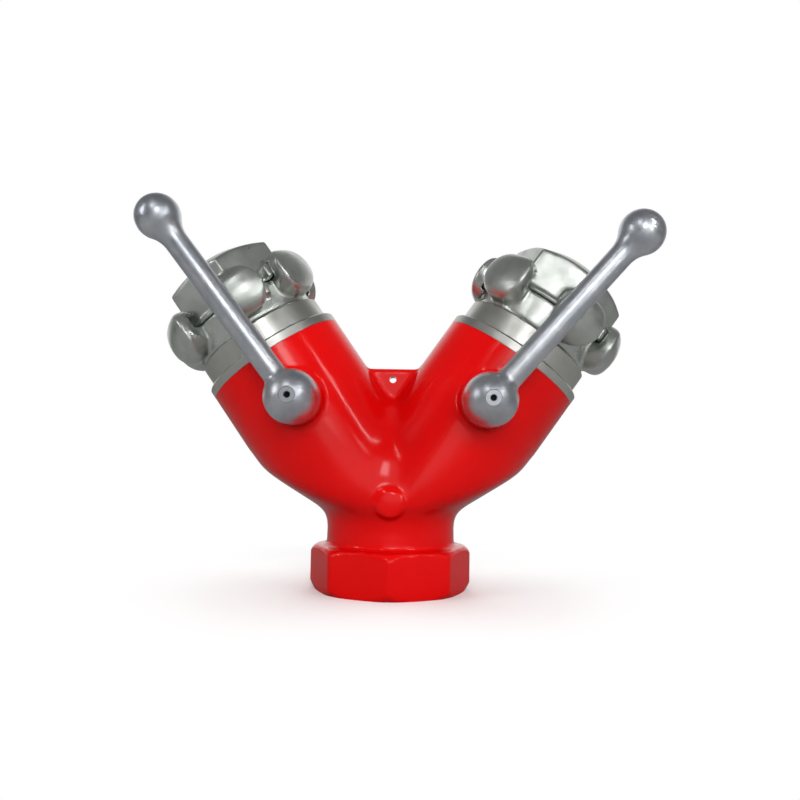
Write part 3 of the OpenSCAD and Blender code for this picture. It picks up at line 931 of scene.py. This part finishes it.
def pale_floor():
    """Matt paper: lit near the object, running out into the white behind, and dimmer in reflections."""
    paper = Finish("pale_floor", (0.9, 0.9, 0.9), 0.0, 0.8)
    paper.tint(paper.noise(3, 2), (0.88, 0.88, 0.88), (0.92, 0.92, 0.92))
    paper.shader.inputs["Specular IOR Level"].default_value = 0
    tree = paper.tree
    distance = tree.nodes.new("ShaderNodeVectorMath")
    distance.operation = "LENGTH"
    paper.link(paper.place, distance.inputs[0])
    far = paper.spread(distance.outputs["Value"], 0, 1, 0.05, 0.22)
    white = paper.node("ShaderNodeEmission", Strength=1.0)
    run_out = tree.nodes.new("ShaderNodeMixShader")
    paper.link(far, run_out.inputs["Fac"])
    paper.link(paper.shader.outputs["BSDF"], run_out.inputs[1])
    paper.link(white.outputs["Emission"], run_out.inputs[2])
    dim = tree.nodes.new("ShaderNodeBsdfDiffuse")
    dim.inputs["Color"].default_value = (0.25, 0.25, 0.25, 1)
    seen = tree.nodes.new("ShaderNodeMixShader")
    paper.link(tree.nodes.new("ShaderNodeLightPath").outputs["Is Camera Ray"], seen.inputs["Fac"])
    paper.link(dim.outputs["BSDF"], seen.inputs[1])
    paper.link(run_out.outputs["Shader"], seen.inputs[2])
    paper.link(seen.outputs["Shader"], tree.nodes["Material Output"].inputs["Surface"])
    return paper.material


def studio_world():
    """White to look at; what the metal mirrors is a pale wall behind and a dim room in front."""
    world = bpy.data.worlds.new("studio")
    bpy.context.scene.world = world
    world.use_nodes = True
    tree = world.node_tree
    tree.nodes.clear()
    place = tree.nodes.new("ShaderNodeTexCoord")
    split = tree.nodes.new("ShaderNodeSeparateXYZ")
    tree.links.new(place.outputs["Generated"], split.inputs["Vector"])
    behind = tree.nodes.new("ShaderNodeMapRange")
    tree.links.new(split.outputs["Y"], behind.inputs["Value"])
    behind.inputs["From Min"].default_value = 0.5
    behind.inputs["From Max"].default_value = 0.8
    behind.inputs["To Min"].default_value = ROOM
    behind.inputs["To Max"].default_value = WALL
    room = tree.nodes.new("ShaderNodeBackground")
    tree.links.new(behind.outputs["Result"], room.inputs["Strength"])
    white = tree.nodes.new("ShaderNodeBackground")
    white.inputs["Color"].default_value = (1, 1, 1, 1)
    room.inputs["Color"].default_value = (1, 1, 1, 1)
    mix = tree.nodes.new("ShaderNodeMixShader")
    tree.links.new(tree.nodes.new("ShaderNodeLightPath").outputs["Is Camera Ray"], mix.inputs["Fac"])
    tree.links.new(room.outputs["Background"], mix.inputs[1])
    tree.links.new(white.outputs["Background"], mix.inputs[2])
    out = tree.nodes.new("ShaderNodeOutputWorld")
    tree.links.new(mix.outputs["Shader"], out.inputs["Surface"])


def soft_fill(name, place, aim, size, power):
    """Light for the matt surfaces alone, so that gloss doesn't mirror a large white square."""
    light = softbox(name, place, aim, size, power)
    light.visible_glossy = False
    return light


def tube(name, place, aim, length, power):
    """Thin lamp that the gloss mirrors as a line along a branch."""
    return softbox(name, place, aim, (0.02, length), power)


def make_studio():
    deselect_all()
    bpy.ops.mesh.primitive_plane_add(size=6, location=(0, 0, 0))
    floor = added("floor")
    floor.data.materials.append(pale_floor())
    middle = (0, 0, 0.11)
    soft_fill("fill_front", (0.10, -1.3, 0.45), middle, (0.9, 0.9), 12)
    soft_fill("fill_left", (-1.0, -0.45, 0.5), middle, (0.7, 0.7), 3)
    soft_fill("fill_right", (1.0, -0.45, 0.5), middle, (0.7, 0.7), 3)
    soft_fill("fill_above", (0, 0.2, 1.3), middle, (0.9, 0.9), 6)
    soft_fill("fill_back", (0, 1.1, 0.6), middle, (0.8, 0.8), 6)
    softbox("panel", (0.15, -1.25, 0.42), middle, (0.8, 0.8), 1.2)
    softbox("window", (0.10, -1.0, 0.50), middle, (0.18, 0.26), 1.2)
    softbox("strip_right", (0.55, -0.88, 0.30), middle, (0.10, 0.45), 0.9)
    tube("tube_branch", (0.66, -0.62, 0.60), middle, 0.45, 0.9)
    tube("tube_overhead", (-0.30, -0.80, 0.80), middle, 0.35, 0.6)
    tube("tube_left", (-0.85, -0.45, 0.45), middle, 0.40, 0.9)
    studio_world()
    bpy.context.scene.view_settings.view_transform = "Standard"


FORGED_ALUMINIUM = forged_aluminium()
POLISHED_METAL = polished_metal()
TURNED_ALUMINIUM = {side: turned_aluminium(side) for side in SIDES}

make_camera()
make_body()
for side in SIDES:
    make_end_adapter(side)
    make_claw_coupling(side)
    make_cap(side)
    make_lever(side)
finish_hidden_pieces()
make_studio()
